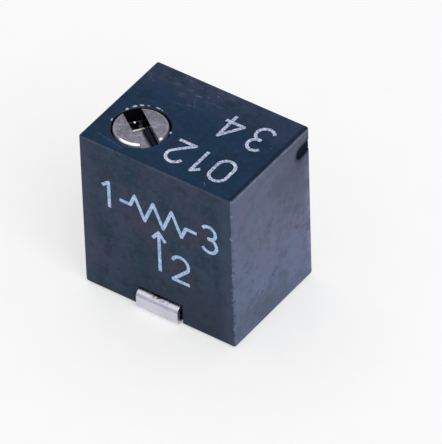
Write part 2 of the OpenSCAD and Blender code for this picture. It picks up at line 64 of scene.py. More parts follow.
# Driving places, all from the frame
BODY_LOW, BODY_HIGH = box_mm("housing")
SCREW_LOW, SCREW_HIGH = box_mm("adjusting_screw")
RESIN_LOW, RESIN_HIGH = box_mm("potting_resin")
CERAMIC_LOW, CERAMIC_HIGH = box_mm("ceramic_substrate")
RETAINER_LOW, RETAINER_HIGH = box_mm("screw_retainer")
WHEEL_LOW, WHEEL_HIGH = box_mm("worm_wheel")
LEAD_LOW, LEAD_HIGH = box_mm("wiper_terminal")
PRINT_Y = box_mm("collector_print")[0].y
ROTOR_TURN = next(joint for joint in frame["record"]["behaviour"]["joints"] if joint["name"] == "rotor_turn")
BODY_D = BODY_HIGH.y - BODY_LOW.y
BODY_MID = (BODY_LOW + BODY_HIGH) / 2
SCREW_X = (SCREW_LOW.x + SCREW_HIGH.x) / 2
SCREW_Y = (SCREW_LOW.y + SCREW_HIGH.y) / 2
WHEEL_X = (WHEEL_LOW.x + WHEEL_HIGH.x) / 2
WHEEL_Z = ROTOR_TURN["pos_m"][2] / MM
HEAD_R = (SCREW_HIGH.x - SCREW_LOW.x) / 2
HEAD_TOP = SCREW_HIGH.z

# Sizes of the CAD model that its nodes' boxes don't give
# housing, with the bevel along its lower left edge as two points measured from that edge
EDGE_R = 0.1
LOW_BEVEL = ((0.5167, -1), (-1, 2.64))
FRONT_WALL = 0.5
SIDE_WALL = 0.7
RIM_WALL = 0.4
FLOOR_Z = BODY_LOW.z + 1.15
ROOF_Z = BODY_HIGH.z - 1.4
BORE_R = HEAD_R + 0.07
BOSS_WALL = 0.3
BEARING_R = 0.44
BEARING_DEPTH = 0.35
PIN_R = 0.4
STOP_R = (1.0, 1.32)
STOP_ANGLES = (-110.5, -69.5)
STOP_T = 0.42
NOTCH_GAP = 0.1
NOTCH_DEPTH = 0.35
FIT = 0.02
# vent groove in the end face: (y, z) of its two rounded ends
VENT_TIP = (BODY_HIGH.y - 0.57, BODY_HIGH.z - 0.8316)
VENT_ROOT = (BODY_HIGH.y + 0.5, BODY_HIGH.z - 0.7)
VENT_R = 0.25
# screw
SLOT_W = 0.7
SLOT_DEPTH = 0.6
SLOT_ANGLE = math.radians(-35)
HEAD_BEVEL = 0.08
HEAD_WEB = 0.55
GROOVE_TOP = HEAD_TOP - SLOT_DEPTH - HEAD_WEB
GROOVE_LOW = GROOVE_TOP - 0.48
NECK_R = 0.62
COLLAR_R = 0.8
WORM_PITCH_R = 0.65
WORM_CORE_R = 0.43
WORM_TIP_R = 0.84
WORM_LEAD = 2 * math.pi * 1.6 / 14
# terminals
STRIP_T = 0.18
STRIP_TOP = 0.85
BEND_R = 0.26
FOOT_L = 1.0
TAB_W = 0.9


# Mesh helpers

def temp_object(bm, name="temp"):
    """A working object in millimetres, for modifiers. The bmesh is used up."""
    mesh = bpy.data.meshes.new(name)
    bm.to_mesh(mesh)
    bm.free()
    piece = bpy.data.objects.new(name, mesh)
    bpy.context.scene.collection.objects.link(piece)
    return piece


def baked_mesh(piece):
    """The working object's mesh with its modifiers applied. The object is removed."""
    depsgraph = bpy.context.evaluated_depsgraph_get()
    mesh = bpy.data.meshes.new_from_object(piece.evaluated_get(depsgraph), depsgraph=depsgraph)
    bpy.data.objects.remove(piece, do_unlink=True)
    return mesh


def baked(piece):
    mesh = baked_mesh(piece)
    bm = bmesh.new()
    bm.from_mesh(mesh)
    bpy.data.meshes.remove(mesh)
    return bm


def finish_mesh(name, bm, body, material, smooth_angle=32):
    """Turns a mesh in millimetres into a smooth-shaded piece in metres that rides on a body."""
    work = temp_object(bm)
    for polygon in work.data.polygons:
        polygon.use_smooth = True
    work.data.set_sharp_from_angle(angle=math.radians(smooth_angle))
    modifier = work.modifiers.new("normals", "WEIGHTED_NORMAL")
    modifier.keep_sharp = True
    mesh = baked_mesh(work)
    mesh.name = name
    mesh.transform(Matrix.Scale(MM, 4))
    piece = bpy.data.objects.new(name, mesh)
    bpy.context.scene.collection.objects.link(piece)
    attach(piece, body)
    dress(piece, material)
    return piece


def boolean(base, cutter, operation="DIFFERENCE"):
    """base with cutter taken away or joined on. Both bmeshes are used up."""
    a, b = temp_object(base, "base"), temp_object(cutter, "cutter")
    modifier = a.modifiers.new("cut", "BOOLEAN")
    modifier.operation = operation
    modifier.solver = "EXACT"
    modifier.object = b
    out = baked(a)
    bpy.data.objects.remove(b, do_unlink=True)
    return out


def bevelled(bm, width, segments=3, angle=35):
    """Rounds every edge sharper than angle."""
    piece = temp_object(bm)
    modifier = piece.modifiers.new("round", "BEVEL")
    modifier.width = width
    modifier.segments = segments
    modifier.limit_method = "ANGLE"
    modifier.angle_limit = math.radians(angle)
    modifier.use_clamp_overlap = True
    modifier.miter_outer = "MITER_ARC"
    return baked(piece)


def box_bm(low, high):
    bm = bmesh.new()
    bmesh.ops.create_cube(bm, size=1)
    low, high = Vector(low), Vector(high)
    for v in bm.verts:
        v.co = (low + high) / 2 + Vector(v.co[i] * (high[i] - low[i]) for i in range(3))
    return bm


def prism(outline, axis, low, high):
    """A closed outline pushed along an axis: (y, z) points along x, (x, z) along y."""
    bm = bmesh.new()

    def at(p, w):
        return (w, p[0], p[1]) if axis == "x" else (p[0], w, p[1])

    first = [bm.verts.new(at(p, low)) for p in outline]
    second = [bm.verts.new(at(p, high)) for p in outline]
    bm.faces.new(first)
    bm.faces.new(second)
    n = len(outline)
    for i in range(n):
        j = (i + 1) % n
        bm.faces.new((first[i], first[j], second[j], second[i]))
    bmesh.ops.recalc_face_normals(bm, faces=bm.faces)
    return bm


def lathe(profile, centre, segments):
    """A closed solid turned about an upright axis, from (radius, height) points that start and end on it."""
    bm = bmesh.new()
    rings = []
    for radius, z in profile:
        if radius < 1e-6:
            rings.append([bm.verts.new((centre[0], centre[1], z))])
        else:
            rings.append([
                bm.verts.new((
                    centre[0] + radius * math.cos(2 * math.pi * i / segments),
                    centre[1] + radius * math.sin(2 * math.pi * i / segments), z,
                ))
                for i in range(segments)
            ])
    for a, b in zip(rings, rings[1:]):
        for i in range(segments):
            j = (i + 1) % segments
            if len(a) == 1:
                bm.faces.new((a[0], b[i], b[j]))
            elif len(b) == 1:
                bm.faces.new((a[i], b[0], a[j]))
            else:
                bm.faces.new((a[i], b[i], b[j], a[j]))
    bmesh.ops.recalc_face_normals(bm, faces=bm.faces)
    return bm


def arc(centre, radius, start, end, count):
    """Points along an arc, angles in degrees."""
    angles = [math.radians(start + (end - start) * i / count) for i in range(count + 1)]
    return [(centre[0] + radius * math.cos(a), centre[1] + radius * math.sin(a)) for a in angles]


# Material helpers

class Material:
    """A node material with a Principled shader and short calls to wire noise and masks into it."""

    def __init__(self, name, **sockets):
        self.material = bpy.data.materials.new(name)
        self.material.use_nodes = True
        self.tree = self.material.node_tree
        self.shader = self.tree.nodes["Principled BSDF"]
        coordinates = self.add("ShaderNodeTexCoord")
        self.position = coordinates.outputs["Object"]
        self.normal = coordinates.outputs["Normal"]
        for socket, value in sockets.items():
            self.shader.inputs[socket.replace("_", " ")].default_value = value

    def add(self, kind, **settings):
        node = self.tree.nodes.new(kind)
        for key, value in settings.items():
            setattr(node, key, value)
        return node

    def link(self, source, target):
        self.tree.links.new(source, target)

    def noise(self, size_mm, detail=4, roughness=0.55, stretch=(1, 1, 1)):
        """Noise whose blobs are about size_mm across, longer along an axis where stretch is over 1."""
        mapping = self.add("ShaderNodeMapping")
        mapping.inputs["Scale"].default_value = [1 / (size_mm * MM * s) for s in stretch]
        self.link(self.position, mapping.inputs["Vector"])
        node = self.add("ShaderNodeTexNoise")
        node.inputs["Scale"].default_value = 1.0
        node.inputs["Detail"].default_value = detail
        node.inputs["Roughness"].default_value = roughness
        self.link(mapping.outputs["Vector"], node.inputs["Vector"])
        return node.outputs["Fac"]

    def remap(self, value, low, high, to_low=0.0, to_high=1.0):
        node = self.add("ShaderNodeMapRange")
        for key, number in (("From Min", low), ("From Max", high), ("To Min", to_low), ("To Max", to_high)):
            node.inputs[key].default_value = number
        self.link(value, node.inputs["Value"])
        return node.outputs["Result"]

    def inverse(self, mask):
        return self.remap(mask, 0, 1, 1, 0)

    def ramp(self, length, low, high, to_low=0.0, to_high=1.0):
        """remap for a length in metres, with its two limits in millimetres."""
        return self.remap(length, low * MM, high * MM, to_low, to_high)

    def math(self, operation, a, b=None):
        node = self.add("ShaderNodeMath", operation=operation)
        for socket, value in zip(node.inputs, (a, b)):
            if isinstance(value, (int, float)):
                socket.default_value = value
            elif value is not None:
                self.link(value, socket)
        return node.outputs["Value"]

    def both(self, first, *others):
        """The product of several masks and plain numbers."""
        for other in others:
            first = self.math("MULTIPLY", first, other)
        return first

    def either(self, first, *others):
        """The greatest of several masks."""
        for other in others:
            first = self.math("MAXIMUM", first, other)
        return first

    def mix(self, factor, a, b):
        node = self.add("ShaderNodeMix", data_type="RGBA")
        for socket, value in ((node.inputs[0], factor), (node.inputs[6], a), (node.inputs[7], b)):
            if isinstance(value, tuple):
                socket.default_value = (*value, 1)
            elif isinstance(value, (int, float)):
                socket.default_value = value
            else:
                self.link(value, socket)
        return node.outputs[2]

    def layered(self, tone, *layers):
        """A tone with (mask, colour) layers laid over it in turn."""
        for mask, colour in layers:
            tone = self.mix(mask, tone, colour)
        return tone

    def bump(self, height, depth_mm, strength=1.0):
        """Adds a bump, on top of any that is there."""
        node = self.add("ShaderNodeBump")
        node.inputs["Distance"].default_value = depth_mm * MM
        node.inputs["Strength"].default_value = strength
        self.link(height, node.inputs["Height"])
        before = self.shader.inputs["Normal"].links
        if before:
            self.link(before[0].from_socket, node.inputs["Normal"])
        self.link(node.outputs["Normal"], self.shader.inputs["Normal"])

    def set(self, socket, value):
        self.link(value, self.shader.inputs[socket])

    def axis(self, vector, axis):
        split = self.add("ShaderNodeSeparateXYZ")
        self.link(vector, split.inputs["Vector"])
        return split.outputs[axis]

    def along(self, axis, low, high, to_low=0.0, to_high=1.0):
        """A ramp along an axis of the row's frame between two places in millimetres."""
        return self.ramp(self.axis(self.position, axis), low, high, to_low, to_high)

    def distance(self, place, kept=(1, 1, 1)):
        """Distance in metres to a place in millimetres, measured without the axes that are 0 in kept."""
        scaled = self.add("ShaderNodeVectorMath", operation="MULTIPLY")
        self.link(self.position, scaled.inputs[0])
        scaled.inputs[1].default_value = kept
        node = self.add("ShaderNodeVectorMath", operation="DISTANCE")
        self.link(scaled.outputs["Vector"], node.inputs[0])
        node.inputs[1].default_value = [p * k * MM for p, k in zip(place, kept)]
        return node.outputs["Value"]

    def from_axis(self, x, y):
        """Distance in metres from an upright line through x and y in millimetres."""
        return self.distance((x, y, 0), (1, 1, 0))

    def from_line(self, start, end):
        """Distance in metres from a straight line between two points in millimetres."""
        start, end = Vector(start) * MM, Vector(end) * MM
        direction = (end - start).normalized()
        offset = self.add("ShaderNodeVectorMath", operation="SUBTRACT")
        self.link(self.position, offset.inputs[0])
        offset.inputs[1].default_value = start
        along = self.add("ShaderNodeVectorMath", operation="DOT_PRODUCT")
        self.link(offset.outputs["Vector"], along.inputs[0])
        along.inputs[1].default_value = direction
        limit = self.add("ShaderNodeClamp")
        limit.inputs["Min"].default_value = 0
        limit.inputs["Max"].default_value = (end - start).length
        self.link(along.outputs["Value"], limit.inputs["Value"])
        foot = self.add("ShaderNodeVectorMath", operation="SCALE")
        foot.inputs[0].default_value = direction
        self.link(limit.outputs["Result"], foot.inputs["Scale"])
        across = self.add("ShaderNodeVectorMath", operation="DISTANCE")
        self.link(offset.outputs["Vector"], across.inputs[0])
        self.link(foot.outputs["Vector"], across.inputs[1])
        return across.outputs["Value"]

    def scratch(self, start, end, width_mm):
        """1 on a thin straight line, 0 off it."""
        return self.ramp(self.from_line(start, end), 0.3 * width_mm, 0.6 * width_mm, 1, 0)


def dress(piece, material):
    piece.data.materials.clear()
    piece.data.materials.append(material.material)


# Housing's plastic: each face has its own tones, all from the same noises; the end face's paler tones are painted
# sheen

def top_tone(m):
    """Navy, with a painted greyer sheen and rubs towards the back edge and a dark line along the right edge that
    is a painted reflection.
    """
    up = m.remap(m.nz, 0.9, 0.98)
    # painted sheen: greyer towards the back edge
    painted_back_sheen = m.both(m.along("Y", 0.6, 2.4), up, m.remap(m.cloud, 0.3, 0.6, 0.35, 0.9))
    rubs = m.noise(0.16, detail=3, roughness=0.6, stretch=(2.6, 1, 1))
    worn = m.both(
        m.along("Y", 0.2, 1.2), m.along("X", 1.2, -0.6), up, m.remap(rubs, 0.53, 0.66),
        m.remap(m.cloud, 0.4, 0.54), 0.62,
    )
    # painted dark reflection along the right edge
    painted_dark_edge = m.both(
        m.along("X", BODY_HIGH.x - 0.17, BODY_HIGH.x - 0.13), m.remap(m.nz, 0.7, 0.9),
        m.remap(m.mottle, 0.4, 0.55, 0.5, 1), 0.75,
    )
    return m.layered(
        m.mix(m.remap(m.hue, 0.38, 0.62), (0.004, 0.028, 0.06), (0.011, 0.026, 0.074)),
        (m.remap(m.mottle, 0.45, 0.72, 0, 0.6), (0.019, 0.044, 0.084)),
        (painted_back_sheen, (0.04, 0.048, 0.09)),
        (worn, (0.08, 0.094, 0.164)),
        (m.remap(m.blotch, 0.5, 0.4, 0, 0.6), (0.008, 0.022, 0.038)),
        (painted_dark_edge, (0.004, 0.01, 0.028)),
    )


def front_tone(m):
    """A little greyer, darker low in the middle and paler towards both ends."""
    low = m.both(m.along("Z", 3.2, 1.4), m.along("X", -2.2, -0.8), m.along("X", 3.2, 2.8), 0.45)
    ends = m.both(m.either(m.along("X", -2.5, -3.2), m.along("X", 2.6, 3.0, 0, 0.9)), 0.5)
    return m.layered(
        m.mix(m.remap(m.broad, 0.42, 0.58), (0.019, 0.042, 0.066), (0.044, 0.045, 0.077)),
        (m.remap(m.cloud, 0.4, 0.66, 0, 0.8), (0.04, 0.06, 0.1)),
        (m.remap(m.hue, 0.46, 0.64, 0, 0.5), (0.048, 0.068, 0.112)),
        (m.remap(m.mottle, 0.45, 0.75, 0, 0.5), (0.056, 0.072, 0.115)),
        (m.remap(m.blotch, 0.48, 0.38, 0, 0.7), (0.02, 0.032, 0.05)),
        (low, (0.02, 0.036, 0.056)),
        (ends, (0.062, 0.078, 0.135)),
    )


def end_tone(m):
    """Paler than the other faces as painted sheen, in soft patches, with painted shade round the vent groove."""
    x, y, z = BODY_HIGH
    flecks = m.noise(0.28, detail=4, roughness=0.6)
    dull = m.both(m.remap(flecks, 0.5, 0.66), m.remap(m.cloud, 0.42, 0.6, 0.08, 0.6))
    contour = m.math("ABSOLUTE", m.math("SUBTRACT", m.noise(0.4, detail=3), 0.5))
    curls = m.both(m.remap(contour, 0.008, 0.022, 1, 0), m.remap(m.noise(0.5, detail=1), 0.55, 0.6), 0.5)
    pale = m.both(m.along("Y", y - 0.4, y - 0.2), m.remap(m.hue, 0.42, 0.54), 0.6)
    shade = m.both(m.along("Y", -0.4, 1.6), m.along("Z", 2.8, 5.6), m.remap(m.cloud, 0.35, 0.6, 0.5, 1), 0.7)
    # painted shade: a soft dark halo round the vent groove
    vent = m.ramp(m.from_line((x, *VENT_TIP), (x, *VENT_ROOT)), VENT_R - 0.02, VENT_R + 0.2, 0.95, 0)
    under_vent = m.distance((x, VENT_TIP[0] - 0.1, VENT_TIP[1] - 0.45))
    smudge = m.both(m.ramp(under_vent, 0.05, 0.3, 0.45, 0), m.remap(m.mottle, 0.4, 0.6, 0.4, 1))
    ridge = m.both(m.along("Z", z - 0.2, z - 0.12), m.remap(m.hue, 0.4, 0.6, 0.2, 0.6))
    return m.layered(
        m.mix(m.remap(m.cloud, 0.36, 0.64), (0.104, 0.134, 0.214), (0.128, 0.15, 0.238)),
        (m.remap(m.hue, 0.46, 0.66, 0, 0.55), (0.152, 0.15, 0.232)),
        (m.along("Z", 4.6, 1.8, 0, 0.7), (0.13, 0.168, 0.286)),
        (m.remap(m.broad, 0.52, 0.64, 0, 0.7), (0.092, 0.122, 0.178)),
        (m.remap(m.broad, 0.46, 0.36, 0, 0.5), (0.138, 0.138, 0.22)),
        (dull, (0.082, 0.107, 0.154)),
        (m.remap(m.blotch, 0.5, 0.38, 0, 0.7), (0.086, 0.1, 0.16)),
        (m.along("Z", 3.4, 6.8, 0, 0.4), (0.085, 0.1, 0.165)),
        (curls, (0.045, 0.06, 0.09)),
        (pale, (0.22, 0.225, 0.35)),
        (shade, (0.06, 0.061, 0.102)),
        (vent, (0.014, 0.02, 0.036)),
        (smudge, (0.05, 0.045, 0.09)),
        (ridge, (0.2, 0.23, 0.32)),
    )


def other_tone(m):
    """Darker mottled tones, a thinner form of the end face's."""
    return m.layered(
        m.mix(m.remap(m.cloud, 0.4, 0.6), (0.018, 0.032, 0.058), (0.042, 0.052, 0.088)),
        (m.remap(m.mottle, 0.45, 0.72, 0, 0.7), (0.06, 0.074, 0.12)),
    )


def round_screw(radius, angle):
    """x and y at a radius and an angle in degrees from the screw's axis."""
    turn = math.radians(angle)
    return SCREW_X + radius * math.cos(turn), SCREW_Y + radius * math.sin(turn)


# Scratches on the top, as (start, end, width)
TOP_SCRATCHES = (
    ((-1.1, 1.5), (-0.78, 1.62), 0.035),
    ((-0.85, 1.25), (-0.7, 1.05), 0.04),
    ((-0.35, 1.98), (-0.2, 1.9), 0.035),
    ((0.1, -0.4), (0.5, -0.75), 0.02),
    ((-2.9, -1.9), (-1.4, -2.15), 0.02),
    ((1.9, -2.05), (2.05, -2.2), 0.03),
)


def housing_material():
    m = Material("housing_plastic", Roughness=0.45, Specular_IOR_Level=0.05)
    m.broad = m.noise(2.1, detail=3, roughness=0.5)
    m.cloud = m.noise(1.3, detail=4, roughness=0.6)
    m.blotch = m.noise(0.6, detail=5, roughness=0.7)
    m.hue = m.noise(0.4, detail=4, roughness=0.6)
    m.mottle = m.noise(0.2, detail=5, roughness=0.65)
    m.nx, m.ny, m.nz = (m.axis(m.normal, a) for a in "XYZ")
    right, top, face = BODY_HIGH.x, BODY_HIGH.z, BODY_LOW.y
    # faces
    front = m.both(m.remap(m.ny, -0.8, -0.5, 1, 0), 0.95)
    end = m.remap(m.nx, 0.5, 0.75)
    others = m.either(m.remap(m.nx, -0.5, -0.75), m.remap(m.ny, 0.5, 0.75), m.remap(m.nz, -0.5, -0.75))
    # painted dark reflection: the housing's rounded edges are darker, except those over and beside the marked
    # face
    flat = m.either(*(m.math("ABSOLUTE", n) for n in (m.nx, m.ny, m.nz)))
    elsewhere = m.either(m.remap(m.ny, -0.3, -0.1), m.remap(m.nx, 0, -0.2), m.remap(m.nz, 0, -0.2))
    painted_dark_roundings = m.both(m.remap(flat, 0.8, 0.985, 0.8, 0), elsewhere)
    # painted highlight along the rounded edge over the marked face
    painted_edge_highlight = m.both(
        m.along("Z", top - 0.14, top - 0.05), m.along("Y", face + 0.05, face + 0.02),
        m.remap(m.noise(0.35, detail=4, stretch=(3, 1, 1)), 0.4, 0.6, 0.25, 1), 0.7,
    )
    # the upright edge between the marked face and the end face has dark and light chips
    edge = m.both(m.along("X", right - 0.12, right - 0.05), m.along("Y", face + 0.12, face + 0.05))
    chipped = m.noise(0.15, detail=2)
    # painted shadow: the inside of the hole is painted dark, but its mouth on the side of the marked face is
    # painted paler, as painted light
    ring = m.ramp(m.from_axis(SCREW_X, SCREW_Y), BORE_R + 0.03, BORE_R + 0.05, 1, 0)
    hole = m.both(ring, m.along("Z", FLOOR_Z, FLOOR_Z + 0.1))
    mouth = m.along("Z", top - 0.008, top - 0.03)
    far = m.ramp(m.from_axis(*round_screw(BORE_R, -78)), 1.0, 1.5)
    hole_shadow = m.either(m.both(mouth, far), m.along("Z", top - 0.1, top - 0.2))
    # dust and scratches
    specks = m.both(m.remap(m.noise(0.075, detail=1), 0.75, 0.79), 0.6)
    scratches = m.either(*(m.scratch((*start, top), (*end, top), width) for start, end, width in TOP_SCRATCHES))
    broken = m.remap(m.noise(0.14, detail=2), 0.42, 0.6, 0, 0.6)
    m.set("Base Color", m.layered(
        top_tone(m),
        (front, front_tone(m)),
        # the end face's paler tone is painted sheen
        (end, end_tone(m)),
        (m.both(others, 0.85), other_tone(m)),
        (painted_dark_roundings, (0.004, 0.008, 0.018)),
        (painted_edge_highlight, (0.075, 0.095, 0.14)),
        (m.both(edge, m.remap(chipped, 0.38, 0.34, 0, 0.8)), (0.01, 0.013, 0.03)),
        (m.both(edge, m.remap(chipped, 0.62, 0.66, 0, 0.8)), (0.2, 0.23, 0.31)),
        (m.both(hole, mouth, 0.9), (0.09, 0.115, 0.16)),
        (m.both(hole, hole_shadow), (0.002, 0.0022, 0.003)),
        (specks, (0.17, 0.19, 0.26)),
        (m.both(scratches, broken), (0.2, 0.25, 0.36)),
    ))
    m.set("Roughness", m.remap(m.mottle, 0.3, 0.75, 0.38, 0.55))
    m.bump(m.mottle, 0.012, 0.5)
    m.bump(m.noise(0.045, detail=3, roughness=0.6), 0.004, 0.6)
    return m


# Other materials

def print_material():
    m = Material("print_ink", Roughness=0.55, Specular_IOR_Level=0.2)
    wear = m.noise(0.06, detail=3, roughness=0.7)
    m.set("Base Color", m.layered(
        m.mix(m.remap(m.noise(0.4, detail=2), 0.38, 0.62), (0.26, 0.5, 0.8), (0.46, 0.55, 0.86)),
        (m.both(m.remap(m.noise(0.16, detail=3), 0.45, 0.62), 0.7), (0.62, 0.76, 0.9)),
        (m.remap(wear, 0.52, 0.66, 0, 0.85), (0.12, 0.18, 0.32)),
    ))
    m.bump(wear, 0.006, 0.5)
    return m


def top_print_material():
    m = Material("print_ink_worn", Roughness=0.5, Specular_IOR_Level=0.2)
    wear = m.noise(0.075, detail=3, roughness=0.75)
    ink = m.mix(m.remap(wear, 0.44, 0.6), (0.56, 0.61, 0.82), (0.13, 0.17, 0.3))
    # the palest flecks of the ink are painted highlights
    m.set("Base Color", m.mix(m.remap(m.noise(0.14, detail=2), 0.58, 0.66, 0, 0.6), ink, (0.85, 0.9, 0.95)))
    m.bump(wear, 0.008, 0.6)
    return m


def in_slot(along, aside, up=0.0):
    """A place in the driver slot, measured along it, across it and up from its floor."""
    return Vector((
        SCREW_X + along * math.cos(SLOT_ANGLE) - aside * math.sin(SLOT_ANGLE),
        SCREW_Y + along * math.sin(SLOT_ANGLE) + aside * math.cos(SLOT_ANGLE),
        HEAD_TOP - SLOT_DEPTH + up,
    ))


# Painted highlights on the head's rim, as (angle, reach, fade)
RIM_GLINTS = ((-80, 0.3, 0.2), (-8, 0.04, 0.06))


def screw_material():
    m = Material("plated_brass", Metallic=1.0, Roughness=0.42)
    blotch = m.noise(0.3, detail=4, roughness=0.65)
    fine = m.noise(0.05, detail=3, roughness=0.6)
    patches = m.remap(m.noise(0.14, detail=3, roughness=0.65), 0.52, 0.66, 0, 0.75)
    pits = m.remap(m.noise(0.1, detail=2), 0.6, 0.68, 0, 0.8)
    # the cutter left the slot's floor smooth; the floor is painted a little darker, and darker still where it
    # meets the slot's sides, as painted shade
    deep = m.along("Z", HEAD_TOP - 0.06, HEAD_TOP - 0.12)
    upright = m.remap(m.math("ABSOLUTE", m.axis(m.normal, "Z")), 0.7, 0.3)
    half = SLOT_W / 2
    corner_shade = m.ramp(m.from_line(in_slot(-2, 0), in_slot(2, 0)), half - 0.07, half - 0.02, 0.25, 0.95)
    # the slot's sides are painted dark in a band and streaks, in the base colour and the specular tint, as
    # painted shade and painted dark reflection
    floor = HEAD_TOP - SLOT_DEPTH
    band = m.both(m.along("Z", floor + 0.16, floor + 0.24), m.along("Z", floor + 0.42, floor + 0.34))
    streaks = m.remap(m.noise(0.24, detail=2, stretch=(7, 7, 1)), 0.4, 0.58, 0.25, 0.65)
    wall_shade = m.both(deep, upright, m.either(band, streaks))
    m.set("Specular Tint", m.mix(wall_shade, (1, 1, 1), (0.04, 0.1, 0.15)))
    # the rim's bevel is painted paler as painted sheen, with painted highlights on it, and the head's side in the
    # gap is paler and less metallic
    ring = m.from_axis(SCREW_X, SCREW_Y)
    rim = m.both(m.ramp(ring, HEAD_R - 0.1, HEAD_R - 0.07), m.inverse(deep))
    rim_glints = [
        m.both(rim, m.ramp(m.from_axis(*round_screw(HEAD_R, angle)), reach, reach + fade, 1, 0))
        for angle, reach, fade in RIM_GLINTS
    ]
    flank = m.both(m.ramp(ring, HEAD_R - 0.03, HEAD_R - 0.01), m.remap(deep, 0, 0.4))
    m.set("Metallic", m.remap(flank, 0, 1, 1, 0.1))
    # a bright line runs across the slot's floor, with a smear beside it
    mark = m.scratch(in_slot(-0.53, -0.33), in_slot(-0.53, 0.28), 0.09)
    smear = m.scratch(in_slot(-0.98, 0.32), in_slot(-0.66, 0.21), 0.13)
    m.set("Base Color", m.layered(
        m.mix(m.remap(blotch, 0.36, 0.64), (0.115, 0.122, 0.14), (0.17, 0.158, 0.2)),
        (patches, (0.26, 0.255, 0.33)),
        (pits, (0.06, 0.06, 0.08)),
        (m.both(deep, corner_shade, m.inverse(upright)), (0.05, 0.048, 0.062)),
        (wall_shade, (0.009, 0.012, 0.017)),
        (m.both(rim, m.remap(fine, 0.4, 0.6, 0.1, 0.5)), (0.4, 0.39, 0.45)),
        *((spot, (0.93, 0.92, 0.93)) for spot in rim_glints),
        (flank, (0.22, 0.27, 0.36)),
        (mark, (0.9, 0.88, 0.9)),
    ))
    rough = m.both(m.remap(fine, 0.3, 0.7, 0.32, 0.5), m.remap(deep, 0, 1, 1, 0.3))
    m.set("Roughness", m.math("ADD", rough, m.both(m.either(mark, smear), 0.35)))
    m.bump(m.both(fine, m.remap(deep, 0, 1, 1, 0.2)), 0.006, 0.7)
    return m


def tin_material():
    m = Material("tinned_strip", Metallic=1.0, Roughness=0.3)
    cloud = m.noise(0.35, detail=4, roughness=0.6, stretch=(3, 1, 1))
    fine = m.noise(0.05, detail=4, roughness=0.65, stretch=(2.5, 1, 1))
    stains = m.remap(m.noise(0.12, detail=3), 0.62, 0.72, 0, 0.5)
    # painted shade: the tin is painted duller and bluish along the curve of the strip; it is stained on the
    # ledge's left half
    up = m.axis(m.normal, "Z")
    bend_shade = m.both(m.remap(up, 0.1, 0.28), m.remap(up, 0.5, 0.7, 1, 0), m.remap(cloud, 0.4, 0.55, 0.3, 1), 0.8)
    ledge = m.both(
        m.along("Z", STRIP_TOP - 0.06, STRIP_TOP - 0.01), m.along("X", 0.1, -0.3), m.remap(fine, 0.4, 0.6), 0.8
    )
    # dark flux specks where the strip leaves the body
    specks = m.both(
        m.along("X", -0.3, -0.2), m.along("X", 0.5, 0.4), m.along("Z", STRIP_TOP - 0.08, STRIP_TOP - 0.02),
        m.remap(m.noise(0.13, detail=2), 0.5, 0.56),
    )
    m.set("Base Color", m.layered(
        m.mix(m.remap(cloud, 0.3, 0.7), (0.57, 0.57, 0.65), (0.74, 0.73, 0.8)),
        (stains, (0.32, 0.31, 0.37)),
        (bend_shade, (0.29, 0.285, 0.42)),
        (ledge, (0.24, 0.25, 0.22)),
        (specks, (0.06, 0.055, 0.07)),
    ))
    m.set("Roughness", m.remap(fine, 0.3, 0.7, 0.24, 0.42))
    m.bump(fine, 0.01, 0.6)
    return m


def resin_material():
    m = Material("resin", Roughness=0.25, Specular_IOR_Level=0.45)
    flow = m.noise(1.6, detail=1)
    m.set("Base Color", m.mix(m.remap(flow, 0.35, 0.65), (0.006, 0.01, 0.018), (0.014, 0.02, 0.032)))
    m.set("Roughness", m.remap(m.noise(0.5, detail=4), 0.35, 0.65, 0.14, 0.3))
    cells = m.add("ShaderNodeTexVoronoi")
    cells.inputs["Scale"].default_value = 1 / (0.9 * MM)
    m.link(m.position, cells.inputs["Vector"])
    bubbles = m.remap(cells.outputs["Distance"], 0.06, 0.16, 1, 0)
    m.bump(flow, 0.3, 0.8)
    m.bump(bubbles, -0.05, 0.6)
    m.bump(m.noise(0.12, detail=4), 0.0015, 0.5)
    return m


def plain_material(name, low, high, size, roughness, **sockets):
    """Two tones of one colour in noise, for small pieces and those inside the body."""
    m = Material(name, Roughness=roughness, **sockets)
    tone = m.noise(size, detail=4)
    m.set("Base Color", m.mix(m.remap(tone, 0.3, 0.7), low, high))
    m.set("Roughness", m.remap(tone, 0.3, 0.7, roughness * 0.85, roughness * 1.15))
    m.bump(tone, 0.004, 0.5)
    return m


HOUSING = housing_material()
# the flash crumbs' pale colour is a painted highlight
FLASH_AND_HIGHLIGHT = plain_material("housing_flash_highlight", (0.2, 0.26, 0.34), (0.5, 0.58, 0.7), 0.05, 0.4)
INK = print_material()
TOP_INK = top_print_material()
PLATED = screw_material()
SWARF = plain_material("bright_swarf", (0.85, 0.84, 0.8), (0.98, 0.97, 0.94), 0.02, 0.3, Metallic=1.0)
TIN = tin_material()
RESIN = resin_material()
VENT_RESIN = plain_material(
    "resin_vent", (0.001, 0.004, 0.012), (0.003, 0.01, 0.024), 0.2, 0.8, Specular_IOR_Level=0.04
)
ALUMINA = plain_material("alumina", (0.8, 0.79, 0.75), (0.9, 0.89, 0.86), 0.15, 0.6)
CERMET = plain_material("cermet", (0.03, 0.028, 0.025), (0.06, 0.055, 0.05), 0.05, 0.5)
SILVER = plain_material("silver_print", (0.6, 0.58, 0.54), (0.75, 0.73, 0.7), 0.05, 0.45, Metallic=0.8)
SOLDER = plain_material("solder", (0.5, 0.5, 0.53), (0.68, 0.68, 0.7), 0.06, 0.3, Metallic=1.0)
STEEL = plain_material("spring_steel", (0.45, 0.45, 0.46), (0.6, 0.6, 0.61), 0.1, 0.35, Metallic=1.0)
RUBBER = plain_material("seal_rubber", (0.2, 0.05, 0.02), (0.28, 0.08, 0.04), 0.2, 0.6)
ROTOR = plain_material("rotor_plastic", (0.74, 0.72, 0.62), (0.84, 0.82, 0.74), 0.5, 0.5)
CONTACT = plain_material("contact_alloy", (0.7, 0.52, 0.24), (0.82, 0.66, 0.36), 0.1, 0.3, Metallic=1.0)


# Housing

